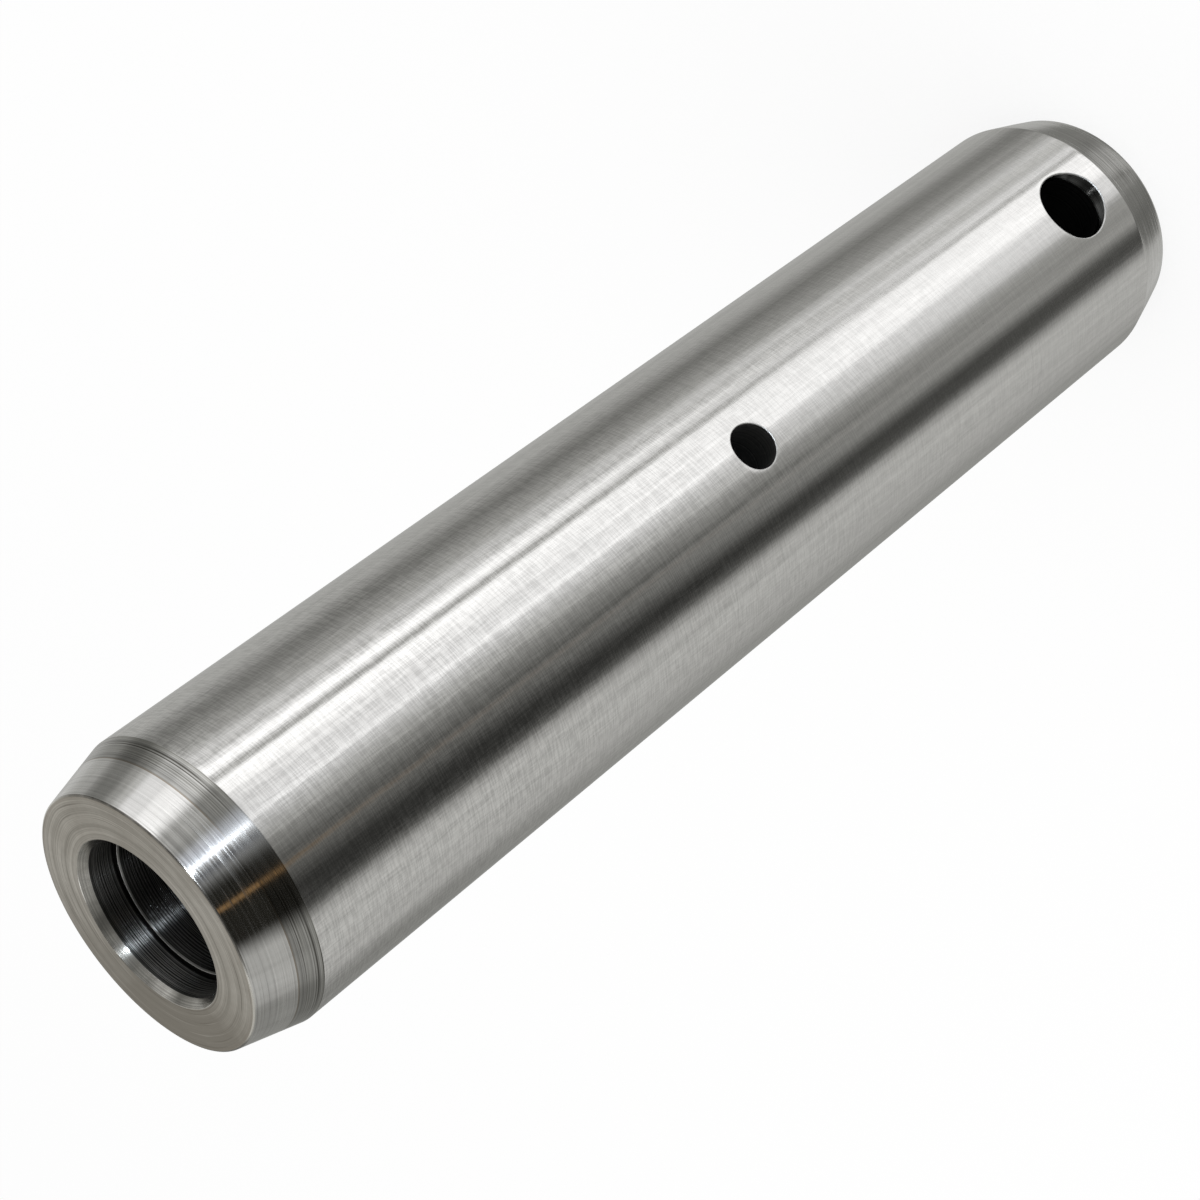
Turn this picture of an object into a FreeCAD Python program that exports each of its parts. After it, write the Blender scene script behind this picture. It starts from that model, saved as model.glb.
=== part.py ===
import FreeCAD, Part
import math
import os
import Sketcher

# Hollow pivot pin, turned and ground from one steel bar.
# It stands on its plain end. The origin is the centre of that end, and +Z runs
# along the pin's centre line up to the end with the stepped bore.
# The retaining bolt hole and the grease hole both open towards -Y.

# Driving sizes in millimetres, and one angle in degrees

# The ground bearing surface and the lead-in taper at each end
pin_diameter = 60.0
pin_length = 290.0
taper_length = 13.0
end_face_diameter = 52.8
rim_round = 0.4

# The bore right through, and the plug recess at the upper end
bore_diameter = 30.0
recess_diameter = 32.5
recess_depth = 7.3
recess_corner = 0.35
mouth_chamfer_width = 1.25
mouth_chamfer_depth = 1.7

# The retaining bolt hole, across both walls near the plain end
bolt_hole_height = 26.8
bolt_hole_diameter = 15.1
bolt_lead_diameter = 17.7
bolt_lead_angle = 60.0

# The grease hole, from the bore out to the bearing surface
grease_hole_height = 142.4
grease_hole_diameter = 10.0

# The hand-broken edge where each hole meets the ground surface
hole_edge_break = 0.25

# How far a cutter runs past the surface it leaves
cutter_overrun = 2.0

doc = FreeCAD.newDocument("pivot_pin")

# The sheet that drives every sketch and feature below
sheet = doc.addObject("Spreadsheet::Sheet", "Sizes")
driving = {
    "pin_diameter": pin_diameter,
    "pin_length": pin_length,
    "taper_length": taper_length,
    "end_face_diameter": end_face_diameter,
    "rim_round": rim_round,
    "bore_diameter": bore_diameter,
    "recess_diameter": recess_diameter,
    "recess_depth": recess_depth,
    "recess_corner": recess_corner,
    "mouth_chamfer_width": mouth_chamfer_width,
    "mouth_chamfer_depth": mouth_chamfer_depth,
    "bolt_hole_height": bolt_hole_height,
    "bolt_hole_diameter": bolt_hole_diameter,
    "bolt_lead_diameter": bolt_lead_diameter,
    "bolt_lead_angle": bolt_lead_angle,
    "grease_hole_height": grease_hole_height,
    "grease_hole_diameter": grease_hole_diameter,
    "hole_edge_break": hole_edge_break,
    "cutter_overrun": cutter_overrun,
}
for row, (name, value) in enumerate(driving.items(), 1):
    sheet.set("A" + str(row), name)
    sheet.set("B" + str(row), str(value))
    sheet.setAlias("B" + str(row), name)
doc.recompute()

body = doc.addObject("PartDesign::Body", "pivot_pin")
body.Label = "pivot_pin"


def origin_item(role):
    for item in body.Origin.OriginFeatures:
        if item.Role == role:
            return item
    raise ValueError("no " + role + " in the body's origin")


def new_sketch(name, plane):
    sketch = body.newObject("Sketcher::SketchObject", name)
    sketch.AttachmentSupport = (origin_item(plane), [""])
    sketch.MapMode = "FlatFace"
    return sketch


def add_outline(sketch, points):
    # Straight lines through the points in order, joined and closed
    count = len(points)
    for i in range(count):
        start = FreeCAD.Vector(points[i][0], points[i][1], 0)
        end = FreeCAD.Vector(points[(i + 1) % count][0], points[(i + 1) % count][1], 0)
        sketch.addGeometry(Part.LineSegment(start, end), False)
    for i in range(count):
        sketch.addConstraint(Sketcher.Constraint("Coincident", i, 2, (i + 1) % count, 1))


def dimension(sketch, name, kind, geometry, expression, value):
    # A driving dimension with a name of its own, bound to the sheet
    index = sketch.addConstraint(Sketcher.Constraint(kind, *geometry, value))
    sketch.renameConstraint(index, name)
    sketch.setExpression("Constraints." + name, expression)


def volume_now():
    doc.recompute()
    return body.Shape.Volume


def check_cut(before, name):
    after = volume_now()
    if after >= before - 1:
        raise ValueError(name + " removed nothing")
    print(name, "removed", round(before - after, 1), "mm3")
    return after


def circle_edges(shape, radius, height):
    # Names of the full circles about the centre line with this radius and height
    found = []
    for number, edge in enumerate(shape.Edges, 1):
        curve = edge.Curve
        if not isinstance(curve, Part.Circle):
            continue
        if abs(curve.Radius - radius) > 1e-4:
            continue
        if math.hypot(curve.Center.x, curve.Center.y) > 1e-4:
            continue
        if abs(curve.Center.z - height) < 1e-4:
            found.append("Edge" + str(number))
    return found


def surface_edges(shape, middle_height, reach):
    # Names of the edges that lie all on the bearing surface around one hole
    found = []
    for number, edge in enumerate(shape.Edges, 1):
        box = edge.BoundBox
        if box.ZMin < middle_height - reach or box.ZMax > middle_height + reach:
            continue
        on_surface = True
        for point in edge.discretize(9):
            if abs(math.hypot(point.x, point.y) - pin_diameter / 2) > 1e-3:
                on_surface = False
        # A seam of the bearing surface is straight, so it has no depth along Y
        if on_surface and box.YLength > 1e-3:
            found.append("Edge" + str(number))
    return found


# Blank: half of the turned outline, revolved about the centre line
blank_radius = pin_diameter / 2
face_radius = end_face_diameter / 2
outline = new_sketch("turned_outline", "XZ_Plane")
add_outline(outline, [
    (0, 0),
    (face_radius, 0),
    (blank_radius, taper_length),
    (blank_radius, pin_length - taper_length),
    (face_radius, pin_length),
    (0, pin_length),
])
outline.addConstraint(Sketcher.Constraint("Coincident", 0, 1, -1, 1))
outline.addConstraint(Sketcher.Constraint("Horizontal", 0))
outline.addConstraint(Sketcher.Constraint("Vertical", 2))
outline.addConstraint(Sketcher.Constraint("Horizontal", 4))
outline.addConstraint(Sketcher.Constraint("Vertical", 5))
outline.addConstraint(Sketcher.Constraint("Equal", 0, 4))
dimension(outline, "length_over_all", "DistanceY", (5, 2, 5, 1), "Sizes.pin_length", pin_length)
dimension(outline, "face_radius", "DistanceX", (0, 1, 0, 2), "Sizes.end_face_diameter / 2", face_radius)
dimension(outline, "body_radius", "DistanceX", (0, 1, 1, 2), "Sizes.pin_diameter / 2", blank_radius)
dimension(outline, "lower_taper", "DistanceY", (1, 1, 1, 2), "Sizes.taper_length", taper_length)
dimension(outline, "upper_taper", "DistanceY", (3, 1, 3, 2), "Sizes.taper_length", taper_length)
doc.recompute()

blank = body.newObject("PartDesign::Revolution", "blank")
blank.Profile = outline
blank.ReferenceAxis = (outline, ["V_Axis"])
blank.Angle = 360
doc.recompute()

# Stepped bore: plain bore, plug recess at the top and a chamfer at both mouths
bore_radius = bore_diameter / 2
recess_radius = recess_diameter / 2
recess_floor = pin_length - recess_depth
bore_outline = new_sketch("bore_outline", "XZ_Plane")
add_outline(bore_outline, [
    (0, 0),
    (bore_radius + mouth_chamfer_width, 0),
    (bore_radius, mouth_chamfer_depth),
    (bore_radius, recess_floor - recess_corner),
    (bore_radius + recess_corner, recess_floor),
    (recess_radius, recess_floor),
    (recess_radius, pin_length - mouth_chamfer_depth),
    (recess_radius + mouth_chamfer_width, pin_length),
    (0, pin_length),
])
bore_outline.addConstraint(Sketcher.Constraint("Coincident", 0, 1, -1, 1))
bore_outline.addConstraint(Sketcher.Constraint("Horizontal", 0))
bore_outline.addConstraint(Sketcher.Constraint("Vertical", 2))
bore_outline.addConstraint(Sketcher.Constraint("Horizontal", 4))
bore_outline.addConstraint(Sketcher.Constraint("Vertical", 5))
bore_outline.addConstraint(Sketcher.Constraint("Horizontal", 7))
bore_outline.addConstraint(Sketcher.Constraint("Vertical", 8))
dimension(bore_outline, "length_over_all", "DistanceY", (8, 2, 8, 1), "Sizes.pin_length", pin_length)
dimension(bore_outline, "bore_radius", "DistanceX", (0, 1, 2, 1), "Sizes.bore_diameter / 2", bore_radius)
dimension(
    bore_outline, "lower_width", "DistanceX", (1, 2, 1, 1),
    "Sizes.mouth_chamfer_width", mouth_chamfer_width,
)
dimension(
    bore_outline, "lower_depth", "DistanceY", (1, 1, 1, 2),
    "Sizes.mouth_chamfer_depth", mouth_chamfer_depth,
)
dimension(
    bore_outline, "recess_radius", "DistanceX", (0, 1, 5, 1),
    "Sizes.recess_diameter / 2", recess_radius,
)
dimension(bore_outline, "recess_depth", "DistanceY", (5, 1, 6, 2), "Sizes.recess_depth", recess_depth)
dimension(
    bore_outline, "upper_width", "DistanceX", (6, 1, 6, 2),
    "Sizes.mouth_chamfer_width", mouth_chamfer_width,
)
dimension(
    bore_outline, "upper_depth", "DistanceY", (6, 1, 6, 2),
    "Sizes.mouth_chamfer_depth", mouth_chamfer_depth,
)
dimension(bore_outline, "corner_width", "DistanceX", (3, 1, 3, 2), "Sizes.recess_corner", recess_corner)
dimension(bore_outline, "corner_depth", "DistanceY", (3, 1, 3, 2), "Sizes.recess_corner", recess_corner)
volume = volume_now()

bore = body.newObject("PartDesign::Groove", "stepped_bore")
bore.Profile = bore_outline
bore.ReferenceAxis = (bore_outline, ["V_Axis"])
bore.Angle = 360
volume = check_cut(volume, "stepped bore")

# Rim rounds: the sharp edge between each end face and its taper is broken
rim_edges = circle_edges(bore.Shape, face_radius, 0)
rim_edges += circle_edges(bore.Shape, face_radius, pin_length)
if len(rim_edges) != 2:
    raise ValueError("two rims expected")
rims = body.newObject("PartDesign::Fillet", "rim_rounds")
rims.Base = (bore, rim_edges)
rims.setExpression("Radius", "Sizes.rim_round")
volume = check_cut(volume, "rim rounds")

# Bolt hole: half of the cutter's outline above its own centre line, a plain
# hole that opens as a cone at both sides of the pin
bolt_radius = bolt_hole_diameter / 2
lead_radius = bolt_lead_diameter / 2
lead_slope = math.tan(math.radians(bolt_lead_angle / 2))
lead_depth = (lead_radius - bolt_radius) / lead_slope
reach = blank_radius + cutter_overrun
wide_radius = lead_radius + cutter_overrun * lead_slope
neck = blank_radius - lead_depth
bolt_outline = new_sketch("bolt_hole_outline", "YZ_Plane")
add_outline(bolt_outline, [
    (-reach, bolt_hole_height),
    (reach, bolt_hole_height),
    (reach, bolt_hole_height + wide_radius),
    (neck, bolt_hole_height + bolt_radius),
    (-neck, bolt_hole_height + bolt_radius),
    (-reach, bolt_hole_height + wide_radius),
])
axis_start = FreeCAD.Vector(-reach, bolt_hole_height, 0)
axis_end = FreeCAD.Vector(reach, bolt_hole_height, 0)
axis_line = bolt_outline.addGeometry(Part.LineSegment(axis_start, axis_end), True)
bolt_outline.addConstraint(Sketcher.Constraint("Coincident", axis_line, 1, 0, 1))
bolt_outline.addConstraint(Sketcher.Constraint("Coincident", axis_line, 2, 0, 2))
bolt_outline.addConstraint(Sketcher.Constraint("Vertical", 1))
bolt_outline.addConstraint(Sketcher.Constraint("Vertical", 5))
bolt_outline.addConstraint(Sketcher.Constraint("Symmetric", 0, 1, 0, 2, -2))
bolt_outline.addConstraint(Sketcher.Constraint("Symmetric", 3, 1, 3, 2, -2))
bolt_outline.addConstraint(Sketcher.Constraint("Equal", 1, 5))
reach_rule = "Sizes.pin_diameter / 2 + Sizes.cutter_overrun"
slope_rule = "tan(Sizes.bolt_lead_angle * 1 deg / 2)"
wide_rule = "Sizes.bolt_lead_diameter / 2 + Sizes.cutter_overrun * " + slope_rule
lead_rule = "(Sizes.bolt_lead_diameter - Sizes.bolt_hole_diameter) / 2 / " + slope_rule
neck_rule = "Sizes.pin_diameter / 2 - " + lead_rule
dimension(bolt_outline, "height", "DistanceY", (-1, 1, 0, 2), "Sizes.bolt_hole_height", bolt_hole_height)
dimension(bolt_outline, "reach", "DistanceX", (-1, 1, 0, 2), reach_rule, reach)
dimension(bolt_outline, "wide_radius", "DistanceY", (1, 1, 1, 2), wide_rule, wide_radius)
dimension(
    bolt_outline, "bolt_radius", "DistanceY", (0, 2, 3, 1),
    "Sizes.bolt_hole_diameter / 2", bolt_radius,
)
dimension(bolt_outline, "neck", "DistanceX", (-1, 1, 3, 1), neck_rule, neck)
volume = volume_now()

bolt_hole = body.newObject("PartDesign::Groove", "bolt_hole")
bolt_hole.Profile = bolt_outline
bolt_hole.ReferenceAxis = (bolt_outline, ["Axis0"])
bolt_hole.Angle = 360
volume = check_cut(volume, "bolt hole")

# Grease hole: straight out of the bore through the wall that faces -Y
grease_radius = grease_hole_diameter / 2
grease_outline = new_sketch("grease_hole_outline", "XZ_Plane")
centre = FreeCAD.Vector(0, grease_hole_height, 0)
grease_circle = Part.Circle(centre, FreeCAD.Vector(0, 0, 1), grease_radius)
grease_outline.addGeometry(grease_circle, False)
grease_outline.addConstraint(Sketcher.Constraint("PointOnObject", 0, 3, -2))
dimension(
    grease_outline, "height", "DistanceY", (-1, 1, 0, 3),
    "Sizes.grease_hole_height", grease_hole_height,
)
dimension(grease_outline, "radius", "Radius", (0,), "Sizes.grease_hole_diameter / 2", grease_radius)
volume = volume_now()

grease_hole = body.newObject("PartDesign::Pocket", "grease_hole")
grease_hole.Profile = grease_outline
grease_hole.Type = "ThroughAll"
grease_hole.Reversed = True
volume = check_cut(volume, "grease hole")
probe = FreeCAD.Vector(0, -(blank_radius + bore_radius) / 2, grease_hole_height)
if grease_hole.Shape.isInside(probe, 1e-6, False):
    raise ValueError("the grease hole points the wrong way")

# Broken edges where the three hole mouths meet the ground surface
mouth_edges = surface_edges(grease_hole.Shape, bolt_hole_height, wide_radius)
mouth_edges += surface_edges(grease_hole.Shape, grease_hole_height, grease_radius + cutter_overrun)
print("hole mouth edges", mouth_edges)
breaks = body.newObject("PartDesign::Fillet", "hole_edge_breaks")
breaks.Base = (grease_hole, mouth_edges)
breaks.setExpression("Radius", "Sizes.hole_edge_break")
volume = check_cut(volume, "hole edge breaks")

body.Tip = breaks
doc.recompute()

for item in doc.Objects:
    if "Invalid" in item.State or "Error" in item.State:
        raise ValueError(item.Name + " failed")
for item in (outline, bore_outline, bolt_outline, grease_outline):
    if not item.FullyConstrained:
        raise ValueError(item.Name + " has free geometry")
shape = body.Shape
if shape.isNull() or not shape.isValid() or len(shape.Solids) != 1:
    raise ValueError("the pin is not one valid solid")

os.makedirs("parts", exist_ok=True)
shape.exportStep(os.path.join("parts", body.Label + ".step"))
box = shape.BoundBox
print("box", [round(v, 3) for v in (box.XMin, box.YMin, box.ZMin, box.XMax, box.YMax, box.ZMax)])
print("volume", round(shape.Volume, 1), "mm3")
print("wall", round(blank_radius - bore_radius, 2), "mm")
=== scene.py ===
# %% [markdown]
# # A ground steel pivot pin
# The real pin is one piece of round steel bar, 60 mm thick and 290 mm long. It was
# drilled through, turned to length with a taper at each end, cross-drilled twice and
# then ground on its bearing surface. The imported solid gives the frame: every size
# below is a size of that solid, in its own place, and the script adds what a solid
# can't carry, which is the finish that each tool left.

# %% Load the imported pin
import math
import bmesh
import bpy
from mathutils import Matrix, Vector


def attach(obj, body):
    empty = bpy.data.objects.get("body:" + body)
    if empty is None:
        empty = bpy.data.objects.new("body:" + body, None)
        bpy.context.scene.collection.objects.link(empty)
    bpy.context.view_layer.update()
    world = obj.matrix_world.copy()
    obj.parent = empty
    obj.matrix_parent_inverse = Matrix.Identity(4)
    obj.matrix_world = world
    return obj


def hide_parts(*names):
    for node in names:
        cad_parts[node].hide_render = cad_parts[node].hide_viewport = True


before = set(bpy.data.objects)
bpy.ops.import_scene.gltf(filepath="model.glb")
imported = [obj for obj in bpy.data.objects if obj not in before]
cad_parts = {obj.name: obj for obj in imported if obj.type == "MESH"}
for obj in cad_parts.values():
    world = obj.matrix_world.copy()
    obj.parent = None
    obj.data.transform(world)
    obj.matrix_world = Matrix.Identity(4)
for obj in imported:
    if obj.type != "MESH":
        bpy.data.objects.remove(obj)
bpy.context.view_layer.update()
mm = 0.001

# %% [markdown]
# ## Camera
# A long bar looks calm through a long lens from well back. The camera stands a little
# to the left of the side with the holes and looks down at the bored end. It is rolled
# about its line of sight, so that the upright pin lies across the picture from corner
# to corner. Rolling the camera keeps the pin on its end, where it can stand.

# %% Camera
camera_place = Vector((-0.03528, -0.41239, 0.46755))
line_of_sight = Vector((0.06311, 0.81214, -0.58004))
camera_roll = math.radians(-127.56)
middle_of_pin = Vector((0, 0, 0.145))

lens = bpy.data.cameras.new("camera")
lens.lens = 77.32
lens.sensor_width = 36.0
lens.clip_start = 0.01
camera = bpy.data.objects.new("camera", lens)
turn = line_of_sight.to_track_quat("-Z", "Y").to_matrix() @ Matrix.Rotation(camera_roll, 3, "Z")
camera.matrix_world = Matrix.Translation(camera_place) @ turn.to_4x4()
bpy.context.scene.collection.objects.link(camera)
bpy.context.scene.camera = camera
print("camera", round((camera_place - middle_of_pin).length, 3), "m from the pin")

# %% [markdown]
# ## The turned blank
# On a lathe the bar spins and the tool draws half of a section. The same thing is done
# here: a few corner points, half of the pin's section, are joined up and spun round the
# centre line. A ready cylinder with a bevel could give the outside, but not the bore,
# the plug recess and both chamfers in one closed skin.
#
# Each run between two corners is first cut into short pieces. The short pieces lie
# where the cross holes will break through, because a clean hole needs a fine, even
# grid around it.

# %% Sizes of the section, in millimetres
outer_radius = 30.0
face_radius = 26.4
bore_radius = 15.0
recess_radius = 16.25
mouth_radius = 16.25
recess_mouth_radius = 17.5
pin_length = 290.0
taper_length = 13.0
mouth_depth = 1.7
recess_floor = 282.7
recess_corner = 0.35
sides_round = 240


def taper_radius(from_end):
    """Radius of both tapers this far from their end face."""
    return face_radius + (outer_radius - face_radius) * from_end / taper_length


# The rough band of the upper taper starts this far from the end face
band_start = 8.1
band_radius = taper_radius(band_start)

# The plain end's taper was dressed twice, at angles a degree apart, and the two cuts
# meet here, in a crest that stands a little proud
dressed_height = 4.9
dressed_radius = taper_radius(dressed_height) + 0.06

# The cross holes: height, radius, and the cone that leads into the bolt hole
bolt_height = 26.8
bolt_radius = 7.55
bolt_mouth_radius = 8.85
bolt_cone_slope = math.tan(math.radians(30))
grease_height = 142.4
grease_radius = 5.0

# Half the height of the fine grid around each cross hole, on the bearing surface and in the bore
bolt_grid = 12.2
bolt_bore_grid = 9.6
grease_grid = 9.3
grease_bore_grid = 6.4

# %% Half of the section, corner by corner
# Radius, height, and the number of pieces of the run that leads to the next corner
section = [
    (mouth_radius, 0.0, 6),
    (face_radius, 0.0, 3),
    (dressed_radius, dressed_height, 3),
    (outer_radius, taper_length, 2),
    (outer_radius, bolt_height - bolt_grid, 32),
    (outer_radius, bolt_height + bolt_grid, 8),
    (outer_radius, grease_height - grease_grid, 24),
    (outer_radius, grease_height + grease_grid, 10),
    (outer_radius, pin_length - taper_length, 2),
    (band_radius, pin_length - band_start, 4),
    (face_radius, pin_length, 6),
    (recess_mouth_radius, pin_length, 1),
    (recess_radius, pin_length - mouth_depth, 3),
    (recess_radius, recess_floor, 1),
    (bore_radius + recess_corner, recess_floor, 1),
    (bore_radius, recess_floor - recess_corner, 9),
    (bore_radius, grease_height + grease_bore_grid, 16),
    (bore_radius, grease_height - grease_bore_grid, 8),
    (bore_radius, bolt_height + bolt_bore_grid, 16),
    (bore_radius, bolt_height - bolt_bore_grid, 2),
    (bore_radius, mouth_depth, 1),
]
skin = bmesh.new()
corners = [skin.verts.new((radius * mm, 0, height * mm)) for radius, height, pieces in section]
runs = [skin.edges.new(ends) for ends in zip(corners, corners[1:] + corners[:1])]
for run, (radius, height, pieces) in zip(runs, section):
    if pieces > 1:
        bmesh.ops.subdivide_edges(skin, edges=[run], cuts=pieces - 1)
print("half section of", len(skin.verts), "points")

# %% Spin it round the centre line
bmesh.ops.spin(
    skin, geom=skin.verts[:] + skin.edges[:], cent=(0, 0, 0), axis=(0, 0, 1), dvec=(0, 0, 0),
    angle=math.tau, steps=sides_round, use_merge=True, use_duplicate=False,
)
bmesh.ops.remove_doubles(skin, verts=skin.verts[:], dist=0.001 * mm)
print("blank of", len(skin.faces), "faces")

# %% [markdown]
# ## Broken corners
# No turned corner is left sharp: it would cut the fitter's hand and chip. The rims of
# the end faces get a round of 0.4 mm, and the corners of the bore a touch of a tool.
# A bevel on the whole ring of edges does this, and each small facet then catches its
# own thin line of light.

# %% Helpers for the corners
def radius_of(vert):
    return math.hypot(vert.co.x, vert.co.y) / mm


def ring_of_edges(radius, height):
    """The ring of edges that lies at this radius and height."""
    def on_ring(vert):
        return abs(radius_of(vert) - radius) < 0.01 and abs(vert.co.z / mm - height) < 0.01

    return [edge for edge in skin.edges if all(on_ring(vert) for vert in edge.verts)]


def break_corner(radius, height, width, segments):
    ring = ring_of_edges(radius, height)
    bmesh.ops.bevel(
        skin, geom=ring, offset=width * mm, offset_type="OFFSET", affect="EDGES",
        segments=segments, profile=0.5, material=-1, clamp_overlap=True,
    )
    print("corner at radius", radius, "height", height, "broken on", len(ring), "edges")


# %% Break the turned corners
# The two cuts of the plain end's taper meet in a crisp line instead
for edge in ring_of_edges(dressed_radius, dressed_height):
    edge.smooth = False

# A round of 0.4 mm takes this much off each side of the rim
rim_width = 0.30
break_corner(face_radius, 0.0, rim_width, 4)
break_corner(face_radius, pin_length, rim_width, 4)
break_corner(outer_radius, taper_length, 0.12, 2)
break_corner(outer_radius, pin_length - taper_length, 0.12, 2)
break_corner(mouth_radius, 0.0, 0.12, 2)
break_corner(recess_mouth_radius, pin_length, 0.15, 2)
break_corner(recess_radius, pin_length - mouth_depth, 0.15, 2)
break_corner(bore_radius + recess_corner, recess_floor, 0.08, 2)
break_corner(bore_radius, recess_floor - recess_corner, 0.08, 2)

# %% [markdown]
# ## Cross holes
# The bolt hole crosses the pin near its plain end and opens as a cone on both sides.
# The grease hole runs from the bore out to the side that faces the camera. A Boolean
# would cut both in one step, but it leaves slivers, and on polished metal each sliver
# shows as a dent in the reflection. So a patch of the fine grid is taken out, a ring of
# the hole's own shape is set in, and the two are bridged and laid back on the surface.
# The ring is then drawn inwards, level by level: broken edge, cone, wall. At the bore
# the same is done from inside.

# %% Helpers for the holes
def on_round(point, radius):
    """Lays a point on the pin's surface of this radius, keeping its height."""
    reach = math.hypot(point.x, point.y)
    point.x *= radius * mm / reach
    point.y *= radius * mm / reach


def take_out_patch(side, height, radius, half_turn, half_height):
    """Takes the grid out around a hole and gives all edges that are open now."""
    patch = []
    for face in skin.faces:
        middle = face.calc_center_median()
        turn_from_side = math.degrees(math.atan2(abs(middle.x), side * middle.y))
        near_wall = abs(math.hypot(middle.x, middle.y) / mm - radius) < 0.05
        near_hole = abs(middle.z / mm - height) < half_height
        if near_wall and near_hole and turn_from_side < half_turn:
            patch.append(face)
    bmesh.ops.delete(skin, geom=patch, context="FACES")
    return [edge for edge in skin.edges if edge.is_boundary]


def bridge_to_surface(edges, radius, rows):
    """Joins a ring to the open patch with rows of faces that lie on the surface."""
    joined = bmesh.ops.bridge_loops(skin, edges=edges)
    split = bmesh.ops.subdivide_edges(
        skin, edges=joined["edges"], cuts=rows - 1, use_grid_fill=True,
    )
    for item in split["geom_inner"]:
        if isinstance(item, bmesh.types.BMVert):
            on_round(item.co, radius)


# %% Points of a hole, in one direction round it
def surface_point(side, height, angle, radius, wall):
    """A point of the hole's outline on the round wall of the pin or of the bore."""
    x = radius * math.cos(angle)
    y = side * math.sqrt(wall ** 2 - x ** 2)
    return Vector((x, y, height + radius * math.sin(angle))) * mm


def level_point(side, height, angle, radius, depth):
    """A point of the hole's wall, this far below the outermost line of the pin."""
    x = radius * math.cos(angle)
    y = side * (outer_radius - depth)
    return Vector((x, y, height + radius * math.sin(angle))) * mm


def broken_edge(outer, corner, inner):
    """Four points of the small round that takes the corner off between two walls."""
    return [
        outer * (1 - part) ** 2 + corner * 2 * part * (1 - part) + inner * part ** 2
        for part in (0.25, 0.5, 0.75, 1.0)
    ]


def bolt_cone_radius(depth):
    """Radius of the 60 degree cone this far below the outermost line of the pin."""
    return bolt_mouth_radius - depth * bolt_cone_slope


def bolt_corner(angle):
    """Radius where the cone meets the bearing surface, found by stepping closer."""
    radius = bolt_mouth_radius
    for step in range(12):
        drop = outer_radius - math.sqrt(outer_radius ** 2 - (radius * math.cos(angle)) ** 2)
        radius = bolt_cone_radius(drop)
    return radius


# %% Levels of the two kinds of hole
edge_break = 0.2


def bolt_levels(side, angle):
    """The bolt hole's outer point, then its levels from the bearing surface to the bore."""
    rim = bolt_corner(angle)
    corner = surface_point(side, bolt_height, angle, rim, outer_radius)
    outer = surface_point(side, bolt_height, angle, rim + edge_break * 1.2, outer_radius)
    depth = outer_radius - abs(corner.y) / mm + edge_break
    neck = (bolt_mouth_radius - bolt_radius) / bolt_cone_slope
    cone = [depth + (neck - 0.1 - depth) * part for part in (0, 0.15, 0.5, 0.88)]
    places = [(bolt_cone_radius(step), step) for step in cone]
    places += [(bolt_radius + 0.05, neck - 0.05)]
    places += [(bolt_radius, step) for step in (neck + 0.1, neck + 1.0, 9.0)]
    inner, *walls = [level_point(side, bolt_height, angle, *place) for place in places]
    at_bore = surface_point(side, bolt_height, angle, bolt_radius, bore_radius)
    return outer, broken_edge(outer, corner, inner) + walls + [at_bore]


def grease_levels(side, angle):
    """The same for the grease hole, which has no cone."""
    corner = surface_point(side, grease_height, angle, grease_radius, outer_radius)
    rim = grease_radius + edge_break * 1.3
    outer = surface_point(side, grease_height, angle, rim, outer_radius)
    depth = outer_radius - abs(corner.y) / mm + edge_break * 1.3
    inner, *walls = [
        level_point(side, grease_height, angle, grease_radius, depth + below)
        for below in (0, 0.3, 4.0, 9.0)
    ]
    at_bore = surface_point(side, grease_height, angle, grease_radius, bore_radius)
    return outer, broken_edge(outer, corner, inner) + walls + [at_bore]


# %% Cut the holes
finish_of = {}


def cut_hole(name, side, height, points_round, levels_of, outside, inside, finishes):
    """Outside and inside say how far round and how high the patch of grid reaches."""
    outer_open = take_out_patch(side, height, outer_radius, *outside)
    # A plain circle first. Its points then move to the hole's own outline
    place = Matrix.Translation((0, side * outer_radius * mm, height * mm))
    circle = bmesh.ops.create_circle(
        skin, cap_ends=False, segments=points_round, radius=5 * mm,
        matrix=place @ Matrix.Rotation(math.pi / 2, 4, "X"),
    )
    ring = list(dict.fromkeys(edge for vert in circle["verts"] for edge in vert.link_edges))

    def direction(vert):
        return math.atan2(vert.co.z - height * mm, vert.co.x)

    for vert in circle["verts"]:
        vert.co = levels_of(side, direction(vert))[0]
    bridge_to_surface(outer_open + ring, outer_radius, 7)
    for level, finish in enumerate(finishes):
        made = bmesh.ops.extrude_edge_only(skin, edges=ring)["geom"]
        new_verts = {item for item in made if isinstance(item, bmesh.types.BMVert)}
        for vert in new_verts:
            vert.co = levels_of(side, direction(vert))[1][level]
        for item in made:
            if isinstance(item, bmesh.types.BMFace):
                finish_of[item] = finish
        ring = [item for item in made if isinstance(item, bmesh.types.BMEdge)
                and item.verts[0] in new_verts and item.verts[1] in new_verts]
    # The ring is open on its inner side, so it is among the open edges
    bridge_to_surface(take_out_patch(side, height, bore_radius, *inside), bore_radius, 4)
    still_open = sum(1 for edge in skin.edges if not edge.is_manifold)
    print(name, "cut with", points_round, "points round it,", still_open, "open edges left")


bolt_patches = (24, bolt_grid), (36, bolt_bore_grid)
grease_patches = (18, grease_grid), (24, grease_bore_grid)
bolt_finishes = (
    ["bright broken edge"] * 4 + ["countersunk cone"] * 5 + ["dark cross hole"] * 3
)
grease_finishes = ["bright broken edge"] * 4 + ["dark cross hole"] * 4
for name, side in (("bolt hole, near side", -1), ("bolt hole, far side", 1)):
    cut_hole(name, side, bolt_height, 128, bolt_levels, *bolt_patches, bolt_finishes)
cut_hole("grease hole", -1, grease_height, 96, grease_levels, *grease_patches, grease_finishes)

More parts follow.
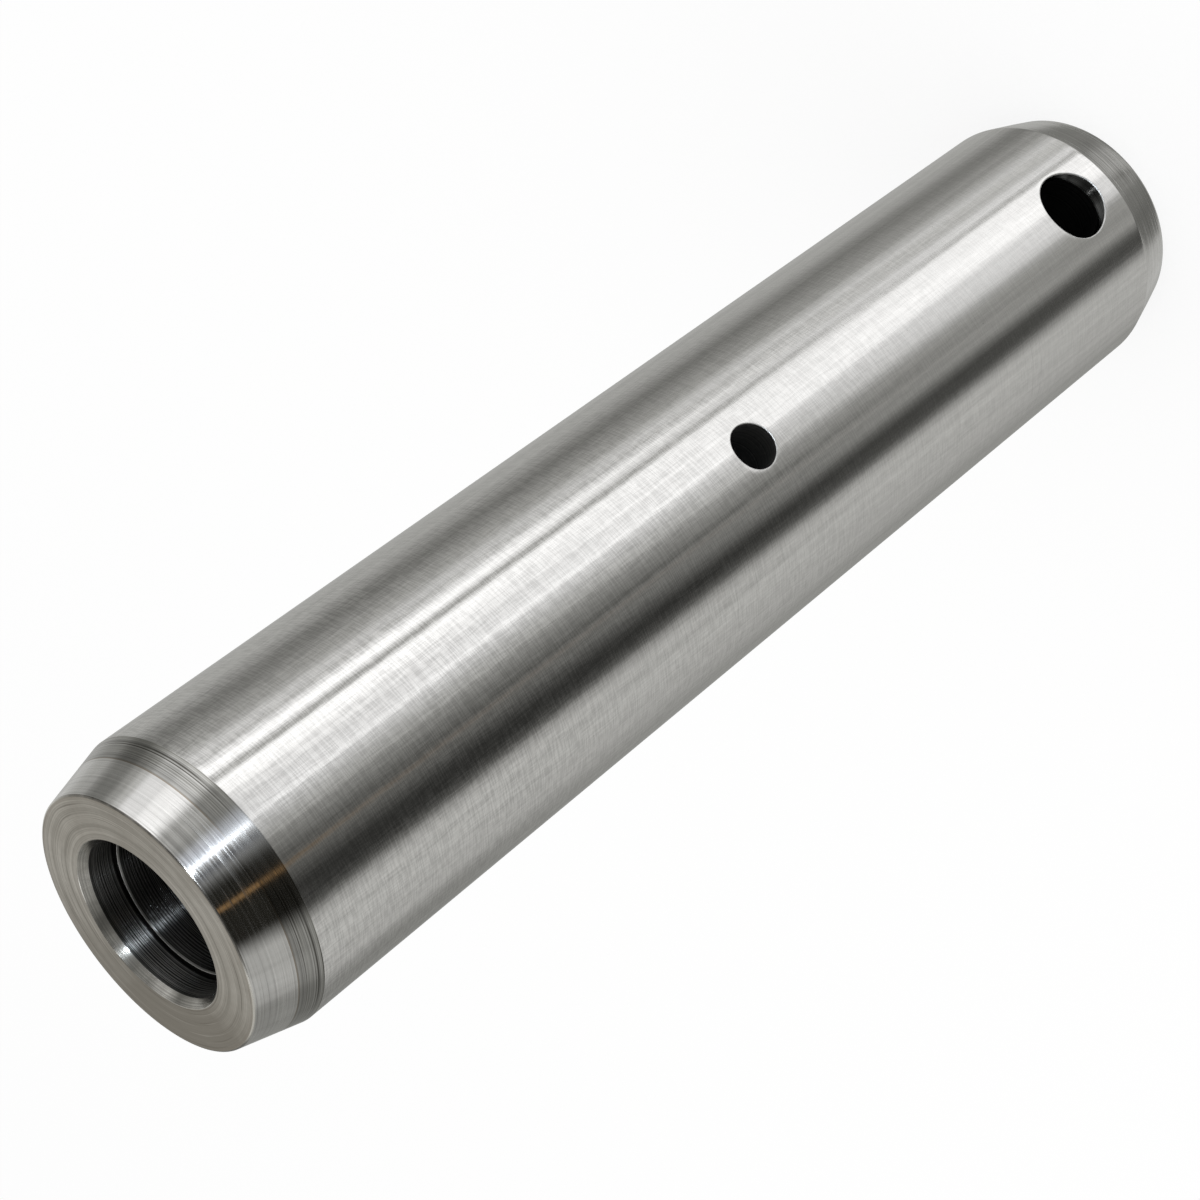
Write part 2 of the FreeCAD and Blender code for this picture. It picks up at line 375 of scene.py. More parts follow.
# %% [markdown]
# ## One finish for each tool
# Every face knows which tool made it, by where it lies: the grinding wheel's bearing
# surface, the lathe's tapers and end faces, the drill's bore, and so on. Each gets a
# material slot of its own, because on bare steel the tool marks are the whole look.

# %% Which finish a face gets
finish_names = [
    "ground bearing surface", "turned taper", "rough turned band", "faced end",
    "bright broken edge", "satin mouth chamfer", "dark drilled bore", "reamed plug recess",
    "countersunk cone", "dark cross hole", "dull turned corner",
]


def finish_by_place(face):
    """The finish of a face outside the cross holes, by its middle, a hair inside the round."""
    middle = face.calc_center_median()
    radius = math.hypot(middle.x, middle.y) / mm
    height = middle.z / mm
    from_end = min(height, pin_length - height)
    upper = height > pin_length / 2
    step_radius = bore_radius + recess_corner
    in_recess = upper and radius < recess_radius + 0.01
    if radius > outer_radius - 0.02:
        return "ground bearing surface"
    if radius > face_radius - rim_width - 0.03 and from_end > rim_width - 0.01:
        in_band = upper and band_start < from_end < taper_length
        return "rough turned band" if in_band else "turned taper"
    if radius > face_radius - rim_width - 0.01:
        return "dull turned corner" if upper and from_end > 0.005 else "turned taper"
    if from_end < 0.02:
        return "faced end"
    if radius > bore_radius + 0.02 and from_end < mouth_depth + 0.05 and not in_recess:
        return "satin mouth chamfer"
    if upper and radius > step_radius + 0.02 and from_end < pin_length - recess_floor + 0.05:
        return "reamed plug recess"
    if upper and radius > step_radius - 0.06 and from_end < pin_length - recess_floor + 0.2:
        return "bright broken edge"
    return "dark drilled bore"


counts = dict.fromkeys(finish_names, 0)
for face in skin.faces:
    finish = finish_of.get(face) or finish_by_place(face)
    face.material_index = finish_names.index(finish)
    face.smooth = True
    counts[finish] += 1
print(counts)

# %% Close the skin and make the piece
bmesh.ops.recalc_face_normals(skin, faces=skin.faces[:])
for edge in skin.edges:
    if len(edge.link_faces) == 2 and edge.calc_face_angle() > math.radians(14):
        edge.smooth = False
steel_volume = skin.calc_volume() / mm ** 3
pin_mesh = bpy.data.meshes.new("pivot_pin_skin")
skin.to_mesh(pin_mesh)
skin.free()
pin = bpy.data.objects.new("pivot_pin_skin", pin_mesh)
bpy.context.scene.collection.objects.link(pin)
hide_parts("pivot_pin")
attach(pin, "root")
print("skin of", len(pin_mesh.polygons), "faces, volume", round(steel_volume), "mm3")

# %% [markdown]
# ## Steel, and the marks of the tools
# Bare steel has next to no colour of its own. What the eye reads as its finish is the
# direction and the depth of fine grooves: they smear each reflection across the
# grooves and leave it sharp along them. The shader has a setting for this, anisotropy,
# turned by a quarter so that it smears across rings round the centre line. The grooves
# that are wide enough to see are drawn as well, with noise that is stretched along
# them, which changes colour, roughness and height a little.

# %% Helpers for nodes
def node(tree, kind, inputs=None, **settings):
    made = tree.nodes.new("ShaderNode" + kind)
    for name, value in settings.items():
        setattr(made, name, value)
    for socket, value in (inputs or {}).items():
        if isinstance(value, bpy.types.NodeSocket):
            tree.links.new(value, made.inputs[socket])
        else:
            made.inputs[socket].default_value = value
    return made


def maths(tree, operation, *values, clamp=False):
    inputs = dict(enumerate(values))
    return node(tree, "Math", inputs, operation=operation, use_clamp=clamp).outputs[0]


def ramp(tree, value, low, high, first=0.0, last=1.0, soft=False):
    """Runs from first to last while the value runs from low to high, and no further."""
    ends = {0: value, 1: low, 2: high, 3: first, 4: last}
    kind = "SMOOTHSTEP" if soft else "LINEAR"
    return node(tree, "MapRange", ends, interpolation_type=kind).outputs[0]


def tone_of(colour):
    """Red, green and blue get the fourth number of a colour socket. A socket stays as it is."""
    return (*colour, 1) if isinstance(colour, tuple) else colour


def blend(tree, amount, first, second, kind="MIX"):
    """Goes from the first colour to the second."""
    inputs = {0: amount, 6: tone_of(first), 7: tone_of(second)}
    return node(tree, "Mix", inputs, data_type="RGBA", blend_type=kind).outputs[2]


def paint(tree, colour, mask, strength, tone):
    """Lays a tone over the colour where the mask is, up to this strength."""
    return blend(tree, maths(tree, "MULTIPLY", mask, strength), colour, tone)


def mixed(tree, *shares):
    """Adds up several grains, each times its share."""
    total = maths(tree, "MULTIPLY", shares[0][1], shares[0][0])
    for share, lines in shares[1:]:
        total = maths(tree, "MULTIPLY_ADD", lines, share, total)
    return total


# %% Helpers for places on the pin
def axes(tree, place):
    """The three parts of a place: x, y and height, in metres."""
    return node(tree, "SeparateXYZ", {0: place}).outputs


def point(tree, x, y, z):
    return node(tree, "CombineXYZ", {0: x, 1: y, 2: z}).outputs[0]


def from_centre(tree, place):
    """Distance from the centre line, in metres."""
    x, y = axes(tree, place)[:2]
    squares = maths(tree, "ADD", maths(tree, "MULTIPLY", x, x), maths(tree, "MULTIPLY", y, y))
    return maths(tree, "SQRT", squares)


def between(tree, place, start, end, soft):
    """1 between two directions round the pin, in degrees from the holes' side, 0 elsewhere."""
    x, y = axes(tree, place)[:2]
    turn = maths(tree, "ARCTAN2", x, maths(tree, "MULTIPLY", y, -1.0))
    middle = math.radians((start + end) / 2)
    off = maths(tree, "ABSOLUTE", maths(tree, "SUBTRACT", turn, middle))
    half = (end - start) / 2
    return ramp(tree, off, math.radians(half + soft), math.radians(half - soft))


# %% Helpers for grain
def spread(tree, noise, contrast):
    """Noise keeps close to its middle. This spreads it from 0 to 1."""
    reach = 0.22 / contrast
    return ramp(tree, noise.outputs["Fac"], 0.5 - reach, 0.5 + reach)


def grain_noise(tree, place, scale, detail, roughness):
    place = node(tree, "VectorMath", {0: place, 1: scale}, operation="MULTIPLY").outputs[0]
    settings = {"Vector": place, "Scale": 1.0, "Detail": detail, "Roughness": roughness}
    return node(tree, "TexNoise", settings)


def grain(tree, place, scale, detail=2.0, roughness=0.5, contrast=1.0):
    """Noise with so many marks to the metre in each direction: few of them make long lines."""
    return spread(tree, grain_noise(tree, place, scale, detail, roughness), contrast)


def sparse(tree, place, scale, above):
    """Only the highest crests of such a noise: a few lines, far apart."""
    crests = grain_noise(tree, place, scale, detail=1.0, roughness=0.5).outputs["Fac"]
    return ramp(tree, crests, above, above + 0.05)


def rings(tree, distance, per_metre, shift=0.0, detail=2.0, roughness=0.6, contrast=1.0):
    """Noise along one distance only, so that every ring is perfectly round.

    The shift reads another stretch of the noise, for rings that differ from the others.
    """
    if shift:
        distance = maths(tree, "ADD", distance, shift)
    along = maths(tree, "MULTIPLY", distance, per_metre)
    settings = {"W": along, "Scale": 1.0, "Detail": detail, "Roughness": roughness}
    return spread(tree, node(tree, "TexNoise", settings, noise_dimensions="1D"), contrast)


def specks(tree, place, per_metre, size):
    """Small round nicks, one here and there, of about this size in metres."""
    cells = node(tree, "TexVoronoi", {"Vector": place, "Scale": per_metre})
    edge = size * per_metre
    return ramp(tree, cells.outputs["Distance"], edge, edge * 0.5)


# %% A steel material, from start to finish
finishes = {}


def start_steel(name, anisotropy):
    """A steel with its grooves round the centre line, and the pin's own coordinates."""
    material = bpy.data.materials.new(name)
    material.use_nodes = True
    finishes[name] = material
    tree = material.node_tree
    steel = tree.nodes["Principled BSDF"]
    steel.inputs["Metallic"].default_value = 1.0
    steel.inputs["Anisotropic"].default_value = anisotropy
    steel.inputs["Anisotropic Rotation"].default_value = 0.25
    print("finish", name)
    return tree, steel, node(tree, "TexCoord").outputs["Object"]


def finish_steel(tree, steel, colour, marks, change, roughness, relief, depth):
    """Links the colour, the roughness, which changes at the marks, and a relief of this depth."""
    tree.links.new(colour, steel.inputs["Base Color"])
    rough = maths(tree, "MULTIPLY_ADD", marks, change, roughness)
    tree.links.new(rough, steel.inputs["Roughness"])
    bump = node(tree, "Bump", {"Height": relief, "Distance": depth, "Strength": 1.0})
    tree.links.new(bump.outputs[0], steel.inputs["Normal"])


# %% [markdown]
# ### Ground bearing surface
# The wheel leaves short, very fine lines round the pin, and the slow feed of the pin
# past the wheel leaves soft streaks along it. The two cross like the threads of linen.

# %% Ground bearing surface
tree, steel, place = start_steel("ground bearing surface", 0.85)
wheel_lines = grain(tree, place, (320, 320, 3900), detail=0, contrast=1.8)
feed_lines = grain(tree, place, (3600, 3600, 320), detail=0, contrast=1.8)
long_feed_lines = grain(tree, place, (1700, 1700, 12), detail=1, contrast=1.6)
feed_streaks = grain(tree, place, (420, 420, 5), roughness=0.75, contrast=1.6)
linen = mixed(tree, (0.50, wheel_lines), (0.34, feed_lines), (0.16, long_feed_lines))

# %% The wheel was dressed for the bored end, and cut ever finer towards the plain end
patches = grain(tree, place, (60, 60, 42), contrast=1.3)
towards_bored_end = ramp(tree, axes(tree, place)[2], 50 * mm, 230 * mm, first=0.34, last=0.74)
patchy = maths(tree, "MULTIPLY_ADD", patches, 0.35, 0.65)
depth_of_cut = maths(tree, "MULTIPLY", patchy, towards_bored_end)
linen_cut = blend(tree, depth_of_cut, (0.5, 0.5, 0.5), linen)
worked = blend(tree, 0.20, linen_cut, feed_streaks)
colour = blend(tree, worked, (0.46, 0.456, 0.448), (0.92, 0.911, 0.896))
both_lines = mixed(tree, (0.55, wheel_lines), (0.45, feed_lines))
fuzz = maths(tree, "MULTIPLY", both_lines, depth_of_cut)

# %% Scratches and nicks from handling
long_scratches = sparse(tree, place, (26, 26, 2300), above=0.70)
nicks = specks(tree, place, per_metre=170, size=0.14 * mm)
colour = paint(tree, colour, long_scratches, 0.14, (0.30, 0.298, 0.29))
colour = paint(tree, colour, nicks, 0.5, (0.14, 0.13, 0.12))
unevenness = grain(tree, place, (150, 150, 20))
relief = mixed(
    tree, (1.1, unevenness), (0.8, wheel_lines), (0.5, feed_streaks), (0.3, feed_lines),
)
finish_steel(tree, steel, colour, fuzz, 0.06, 0.125, relief, 0.002 * mm)

# %% [markdown]
# ### Turned tapers and the rough band
# The lathe tool leaves perfectly round rings. Along a taper they run straight across
# the reflection, so the noise reads the height only. Some rings were torn by the tool
# and stay dark; they are painted much darker, as painted shade, on the side of the holes
# around the lamp's streak, where the reflection shows them. Next to the bearing surface
# the upper taper was turned a second time with a coarser feed, which left a darker,
# rougher band with a brown trace of coolant at its border.

# %% Turned taper
tree, steel, place = start_steel("turned taper", 0.6)
height = axes(tree, place)[2]
feed_rings = rings(tree, height, 2400, detail=1, contrast=1.7)
wide_rings = rings(tree, height, 800, contrast=1.5)
mark = blend(tree, 0.45, feed_rings, wide_rings)
colour = blend(tree, mark, (0.60, 0.594, 0.582), (0.76, 0.753, 0.739))
strokes = grain(tree, place, (420, 420, 50), contrast=1.5)
colour = paint(tree, colour, strokes, 0.30, (0.55, 0.544, 0.53))

# %% Torn rings of the taper, painted darker as shade on the side of the lamp's streak
deep_rings = rings(tree, height, 2300, shift=0.2, detail=1, contrast=1.3)
broken_up = grain(tree, place, (60, 60, 60), contrast=1.6)
broken_up = maths(tree, "MULTIPLY_ADD", broken_up, 0.8, 0.2)
grooves = maths(tree, "MULTIPLY", ramp(tree, deep_rings, 0.66, 0.95), broken_up)
# Painted shade: the torn rings are made darker on the side of the lamp's streak, and a further
# set only just beside it
torn_and_shaded_side = maths(tree, "MULTIPLY_ADD", between(tree, place, -28, 24, soft=8), 0.60, 0.28)
colour = paint(tree, colour, grooves, torn_and_shaded_side, (0.17, 0.167, 0.161))
torn_rings = rings(tree, height, 1000, shift=0.8, detail=3, roughness=0.7, contrast=1.4)
shaded_tears = ramp(tree, torn_rings, 0.52, 0.80)
shaded_tears = maths(tree, "MULTIPLY", shaded_tears, between(tree, place, 3, 19, soft=5))
colour = paint(tree, colour, shaded_tears, 0.40, (0.22, 0.217, 0.209))

# %% A few rings of the taper are duller than the rest
dull_rings = rings(tree, height, 1000, shift=0.5, roughness=0.7, contrast=1.5)
spotty = grain(tree, place, (70, 70, 400), contrast=1.4)
dull = maths(tree, "MULTIPLY", ramp(tree, dull_rings, 0.5, 1.0), spotty)
smooth = maths(tree, "MULTIPLY_ADD", feed_rings, 0.06, 0.08)
finish_steel(tree, steel, colour, dull, 0.21, smooth, mark, 0.003 * mm)

# %% Rough turned band: its tones from the end face inwards
tree, steel, place = start_steel("rough turned band", 0.6)
height = axes(tree, place)[2]
from_face = maths(tree, "SUBTRACT", pin_length * mm, height)
depth_in_band = ramp(tree, from_face, band_start * mm, taper_length * mm)
shade = node(tree, "ValToRGB", {0: depth_in_band})
shade.color_ramp.elements[0].color = (0.28, 0.225, 0.165, 1)
shade.color_ramp.elements[1].color = (0.36, 0.355, 0.33, 1)
band_tones = [
    (0.07, 0.18), (0.3, 0.21), (0.42, 0.34), (0.5, 0.38),
    (0.6, 0.19), (0.72, 0.30), (0.8, 0.17), (0.9, 0.36),
]
for position, tone in band_tones:
    stop = shade.color_ramp.elements.new(position)
    stop.color = (tone, tone * 0.995, tone * 0.94, 1)

# %% Rough turned band: its rings, and a painted highlight, a lighter strip where the lamp's streak crosses it
fine_rings = rings(tree, height, 3000, detail=1, contrast=2.2)
coarse_rings = rings(tree, height, 1300, contrast=2.2)
ring_marks = blend(tree, 0.5, fine_rings, coarse_rings)
colour = paint(tree, shade.outputs[0], ring_marks, 0.62, (0.66, 0.652, 0.632))
deep_rings = rings(tree, height, 2300, shift=0.3, detail=1, contrast=1.4)
torn = grain(tree, place, (50, 50, 900), contrast=1.6)
grooves = maths(tree, "MULTIPLY", ramp(tree, deep_rings, 0.50, 0.86), torn)
colour = paint(tree, colour, grooves, 0.95, (0.09, 0.086, 0.077))
# Painted highlight: the band is lighter on the strip where the lamp's streak runs across it
painted_highlight_tone = blend(tree, ring_marks, (0.55, 0.544, 0.53), (0.74, 0.733, 0.719))
colour = paint(tree, colour, between(tree, place, -16, 5, soft=7), 0.85, painted_highlight_tone)
finish_steel(tree, steel, colour, ring_marks, -0.10, 0.20, ring_marks, 0.008 * mm)

# %% [markdown]
# ### Faced end
# A facing cut runs from the rim to the bore, so its marks are rings round the centre
# line too, read from the radius. They wander a little, because the cut chattered, and a
# few deeper ones show as thin dark arcs.

# %% Faced end
tree, steel, place = start_steel("faced end", 0.4)
x, y, height = axes(tree, place)
radius = from_centre(tree, place)
wobble = grain(tree, place, (45, 45, 45))
wandering = maths(tree, "ADD", radius, maths(tree, "MULTIPLY", wobble, 0.6 * mm))
fine_rings = rings(tree, wandering, 3600, detail=0, contrast=1.9)
wide_rings = rings(tree, wandering, 700, contrast=1.4)
along_cut = point(tree, wandering, height, height)
ragged = grain(tree, along_cut, (1500, 1, 1), contrast=1.5)
short_arcs = grain(tree, place, (900, 900, 900), contrast=1.3)
face_marks = mixed(
    tree, (0.34, fine_rings), (0.36, wide_rings), (0.20, ragged), (0.10, short_arcs),
)
colour = blend(tree, face_marks, (0.36, 0.343, 0.312), (0.70, 0.676, 0.635))

# %% Stain with painted shade, and chatter arcs on the end
side_x = maths(tree, "DIVIDE", x, radius)
side_y = maths(tree, "DIVIDE", y, radius)
# Painted shade: the end is darker towards one side and in two opposite quarters round the centre,
# a bow-tie of light on the rings; the cloud over it is a real uneven stain
painted_side_shade = maths(tree, "MULTIPLY_ADD", side_x, -0.30, 0.5)
painted_side_shade = maths(tree, "MULTIPLY_ADD", side_y, 0.27, painted_side_shade)
painted_bow_tie = maths(tree, "MULTIPLY", maths(tree, "MULTIPLY", side_x, side_y), -0.80)
cloud = grain(tree, place, (90, 90, 90), detail=4, roughness=0.6, contrast=1.3)
cloud = maths(tree, "MULTIPLY_ADD", cloud, 0.45, -0.22)
stain_and_shade = maths(tree, "ADD", cloud, maths(tree, "ADD", painted_side_shade, painted_bow_tie), clamp=True)
colour = paint(tree, colour, stain_and_shade, 0.90, (0.28, 0.258, 0.225))
arcs = sparse(tree, point(tree, wandering, x, y), (2300, 45, 45), above=0.63)
colour = paint(tree, colour, arcs, 0.5, (0.15, 0.132, 0.108))
bright_arcs = sparse(tree, point(tree, wandering, y, x), (2600, 55, 55), above=0.64)
colour = paint(tree, colour, bright_arcs, 0.22, (0.80, 0.775, 0.735))
near_rim = ramp(tree, radius, 25.3 * mm, 26.1 * mm)
colour = paint(tree, colour, near_rim, 0.35, (0.30, 0.262, 0.215))
finish_steel(tree, steel, colour, face_marks, -0.10, 0.37, fine_rings, 0.002 * mm)

# %% [markdown]
# ### Edges, chamfers and bores
# A broken edge is filed by hand, so it is bright and has no grain of its own. The rim
# of the bored end was rounded in the lathe and is dull, with painted highlights where it
# mirrors the lamps. The bore and its recess were drilled and reamed and never ground:
# dark, with coarse feed rings that cut a reflection into dashes, and a painted shadow in
# the corner of the recess's step. The bolt hole and its cone get near-black colours. The
# grease hole's wall is a lighter copy of the same finish, painted light on its wall.

# %% Bright broken edge
tree, steel, place = start_steel("bright broken edge", 0.0)
nicks = grain(tree, place, (700, 700, 700))
colour = blend(tree, nicks, (0.55, 0.546, 0.537), (0.75, 0.744, 0.731))
finish_steel(tree, steel, colour, nicks, 0.08, 0.40, nicks, 0.002 * mm)

# %% Dull turned corner
tree, steel, place = start_steel("dull turned corner", 0.0)
spots = grain(tree, place, (500, 500, 500))
colour = blend(tree, spots, (0.17, 0.162, 0.15), (0.33, 0.318, 0.30))
# Painted highlights: the rim is made light at three places round it, where it mirrors the lamps
for start, end, soft in ((-1.5, 3, 2), (-84, -40, 5), (76, 120, 8)):
    colour = blend(tree, between(tree, place, start, end, soft), colour, (0.75, 0.737, 0.706))
finish_steel(tree, steel, colour, spots, 0.08, 0.15, spots, 0.0006 * mm)

# %% Satin mouth chamfer
tree, steel, place = start_steel("satin mouth chamfer", 0.7)
fine_rings = rings(tree, axes(tree, place)[2], 4800, detail=1, contrast=1.5)
colour = blend(tree, fine_rings, (0.40, 0.391, 0.369), (0.60, 0.587, 0.557))
strokes = grain(tree, place, (700, 700, 260), contrast=1.7)
colour = paint(tree, colour, strokes, 0.40, (0.30, 0.291, 0.272))
finish_steel(tree, steel, colour, fine_rings, -0.06, 0.22, fine_rings, 0.004 * mm)

# %% Dark drilled bore
tree, steel, place = start_steel("dark drilled bore", 1.0)
drill_rings = rings(tree, axes(tree, place)[2], 3400, detail=1, contrast=2.6)
colour = blend(tree, drill_rings, (0.015, 0.015, 0.0146), (0.16, 0.16, 0.156))
finish_steel(tree, steel, colour, drill_rings, -0.05, 0.34, drill_rings, 0.025 * mm)

# %% Reamed plug recess, with a painted shadow: a dark line in the corner along its step
tree, steel, place = start_steel("reamed plug recess", 1.0)
height = axes(tree, place)[2]
tool_rings = rings(tree, height, 3800, detail=1, contrast=2.5)
colour = blend(tree, tool_rings, (0.03, 0.03, 0.0293), (0.35, 0.35, 0.341))
from_face = maths(tree, "SUBTRACT", pin_length * mm, height)
# Painted shadow: a near-black line in the corner next to the step
step_corner_shadow = ramp(tree, from_face, 6.6 * mm, 7.0 * mm)
colour = blend(tree, step_corner_shadow, colour, (0.008, 0.008, 0.0078))
finish_steel(tree, steel, colour, tool_rings, -0.05, 0.34, tool_rings, 0.02 * mm)

# %% Countersunk cone
tree, steel, place = start_steel("countersunk cone", 0.0)
cutter_rings = rings(tree, axes(tree, place)[1], 4200, contrast=1.5)
colour = blend(tree, cutter_rings, (0.045, 0.046, 0.046), (0.11, 0.111, 0.11))
finish_steel(tree, steel, colour, cutter_rings, 0.06, 0.13, cutter_rings, 0.005 * mm)

# %% Cross holes: the bolt hole is dark; the grease hole higher up gets a lighter copy, painted light on its wall
tree, steel, place = start_steel("dark cross hole", 0.0)
x, y, height = axes(tree, place)
drill_steps = rings(tree, y, 2600, contrast=0.9)
dark = blend(tree, drill_steps, (0.02, 0.02, 0.0195), (0.07, 0.069, 0.067))
# Painted light: the grease hole's wall is made lighter than the bolt hole's, in the same finish
painted_lit_wall = blend(tree, drill_steps, (0.20, 0.197, 0.19), (0.40, 0.395, 0.38))
colour = blend(tree, ramp(tree, height, 60 * mm, 100 * mm), dark, painted_lit_wall)
finish_steel(tree, steel, colour, drill_steps, 0.1, 0.36, drill_steps, 0.01 * mm)

# %% Put the finishes on the pin
for name in finish_names:
    pin_mesh.materials.append(finishes[name])
print(len(pin_mesh.materials), "finishes on the pin")

# %% [markdown]
# ## Floor and studio
# The picture's ground is plain white. The floor shows white to the camera and keeps a
# soft shadow of the pin. A round bar mirrors all that stands around it, so a studio
# shapes it with soft boxes and grey and black cards. They stand in the world shader,
# as soft-edged panels by compass direction and height, which a reflection ray sees and
# the camera doesn't. Such a ray passes through the floor, to cards that lie under it.

# %% Floor
floor_mesh = bpy.data.meshes.new("floor")
floor_shape = bmesh.new()
bmesh.ops.create_grid(floor_shape, x_segments=1, y_segments=1, size=3.0)
floor_shape.to_mesh(floor_mesh)
floor_shape.free()
floor = bpy.data.objects.new("floor", floor_mesh)
bpy.context.scene.collection.objects.link(floor)

# %% White floor with a soft shadow
paper = bpy.data.materials.new("white floor")
paper.use_nodes = True
tree = paper.node_tree
tree.nodes.clear()
ray = node(tree, "LightPath").outputs
glow = node(tree, "Emission", {"Color": (0.99, 0.99, 0.99, 1), "Strength": 0.83}).outputs[0]
matte = node(tree, "BsdfDiffuse", {"Color": (0.19, 0.19, 0.19, 1)}).outputs[0]
seen = node(tree, "AddShader", {0: glow, 1: matte}).outputs[0]
plain = node(tree, "BsdfDiffuse", {"Color": (0.8, 0.8, 0.8, 1)}).outputs[0]
clear = node(tree, "BsdfTransparent").outputs[0]
shown = node(tree, "MixShader", {0: ray["Is Camera Ray"], 1: plain, 2: seen}).outputs[0]
passed = node(tree, "MixShader", {0: ray["Is Glossy Ray"], 1: shown, 2: clear}).outputs[0]
node(tree, "OutputMaterial", {0: passed})
floor_mesh.materials.append(paper)
print("floor of", paper.name)

# %% Studio panels in the world
world = bpy.data.worlds.new("studio")
bpy.context.scene.world = world
world.use_nodes = True
tree = world.node_tree
tree.nodes.clear()
x, y, z = axes(tree, node(tree, "TexCoord").outputs["Generated"])
compass = maths(tree, "ARCTAN2", x, maths(tree, "MULTIPLY", y, -1.0))
climb = maths(tree, "ARCSINE", z)


def soft_edge(value, edge, inwards):
    """0 outside an edge and 1 inside it, in degrees. Inwards says which way, and how softly."""
    start, end = math.radians(edge - inwards), math.radians(edge + inwards)
    return ramp(tree, value, start, end, soft=True)


def panel(behind, colour, middle, half_width, soft, bottom, top, soft_ends):
    """A panel in front of what is behind it. Compass counts from the holes' side, in degrees."""
    off = maths(tree, "SUBTRACT", compass, math.radians(middle))
    off = maths(tree, "ABSOLUTE", maths(tree, "WRAP", off, math.pi, -math.pi))
    sides = soft_edge(off, half_width, -soft)
    low, high = soft_edge(climb, bottom, soft_ends), soft_edge(climb, top, -soft_ends)
    ends = maths(tree, "MULTIPLY", low, high)
    return blend(tree, maths(tree, "MULTIPLY", sides, ends), behind, colour)


def grey(level, warmth=0.0):
    """A card's shade. Dark cloth is a little yellower than lit paper."""
    blue = 0.93 + 0.07 * min(level, 1.0)
    return (level * (1 + warmth), level, level * blue * (1 - 1.6 * warmth))


# %% The soft boxes and cards, one after another
# Each row: colour, middle, half width and soft edge by compass, then bottom, top and their
# soft edge by height, all angles in degrees. A later row stands in front of the earlier ones.
panels = [
    (grey(0.31), -160, 24, 24, -89, 60, 8),
    (grey(0.26), -152, 20, 12, -31, 10, 4),
    (grey(0.30), -140, 30, 14, -16, 20, 7),
    (grey(0.55), -92, 15, 13, -89, 40, 8),
    (grey(0.215), 99, 15, 18, -89, 40, 8),
    (grey(0.45), 140, 20, 9, -54, 60, 6),
    (grey(0.62), 152, 15, 10, -20, 20, 5),
    (grey(0.14), -36.5, 31, 7, -46, 30, 12),
    (grey(0.36), 34, 48, 12, -89, 40, 10),
    (grey(0.47), 34, 41.5, 0.6, -89, 40, 10),
    (grey(1.0), 35.5, 32.5, 10, -89, 50, 10),
    (grey(1.38), 26, 14, 9, -89, -36, 8),
    (grey(1.50), 38, 8, 5, -38, 30, 8),
    (grey(1.32), 25.4, 1.8, 1.4, -89, -20, 8),
    (grey(0.62), 56, 7, 4, -89, -38, 5),
    (grey(1.58), 53.3, 3.4, 2.2, -38, 30, 6),
    (grey(1.0), 49.5, 2.4, 1.5, -89, -40, 3),
    (grey(0.45), 45.0, 2.5, 0.8, -44, -18, 3),
    (grey(0.35), 42.4, 2.4, 0.9, -89, -44, 2),
    (grey(0.60), 62, 2.0, 1.2, -89, -20, 6),
    (grey(1.45), 9.3, 1.3, 0.8, -31, -20, 2),
    (grey(1.50), 11.0, 1.2, 0.7, -44, -31, 2),
    (grey(1.45), 10.0, 1.2, 0.7, -89, -44, 2),
    (grey(0.035), -50, 11.5, 8, -80, 30, 8),
    (grey(0.085), -55, 12, 8, -60, -41, 4),
    (grey(0.38), -29, 17, 7, -89, -40, 9),
    (grey(1.05), 0, 11, 9, -89, -42, 5),
    (grey(0.125), -25.0, 2.0, 1.2, -42, -18, 4),
]

# %% Cards for the upper taper. The brown ones make the thin brown line on it
panels += [
    (grey(0.50), -68, 20, 4, -16, 20, 5),
    ((0.019, 0.018, 0.0145), -35, 27, 9, -16, 20, 5),
    ((0.075, 0.081, 0.097), -1, 4, 8, -16, 20, 5),
    (grey(0.40), 25, 20, 6, -16, 20, 5),
    (grey(0.10), -77, 8, 5, 12, 27, 4),
    (grey(0.54), 32, 6, 5, -16, 20, 5),
    (grey(1.36), 52.5, 11, 6, -16, 20, 5),
    (grey(1.08), 72, 9, 5, -16, 20, 5),
    (grey(0.62), 84, 4, 5, -16, 20, 5),
    (grey(0.42), 91, 4, 5, -16, 20, 5),
    (grey(0.22), 104, 9, 7, -16, 20, 5),
    ((0.70, 0.73, 0.80), 14, 4, 5, -10, 20, 4),
    ((1.30, 1.40, 1.58), 8.4, 2.6, 3.4, -10, 20, 4),
    ((0.30, 0.18, 0.08), -28, 1.6, 1.2, -14, 20, 6),
    ((0.20, 0.148, 0.095), -29.0, 1.0, 0.8, -29, -14, 3),
    ((0.20, 0.185, 0.17), -29.4, 1.0, 0.8, -40, -29, 3),
]

# %% Cards under the pin, for the lower taper
panels += [
    (grey(0.22), 0, 181, 1, -91, -68, 3),
    (grey(0.30), -10, 18, 9, -91, -68, 3),
    (grey(0.56), -158, 36, 8, -91, -54, 5),
    (grey(0.17), -92, 26, 8, -91, -70, 3),
    (grey(0.24), 110, 25, 8, -91, -60, 4),
    (grey(0.52), 51, 33, 14, -91, -74, 3),
    (grey(0.50), 168, 24, 8, -91, -50, 5),
]

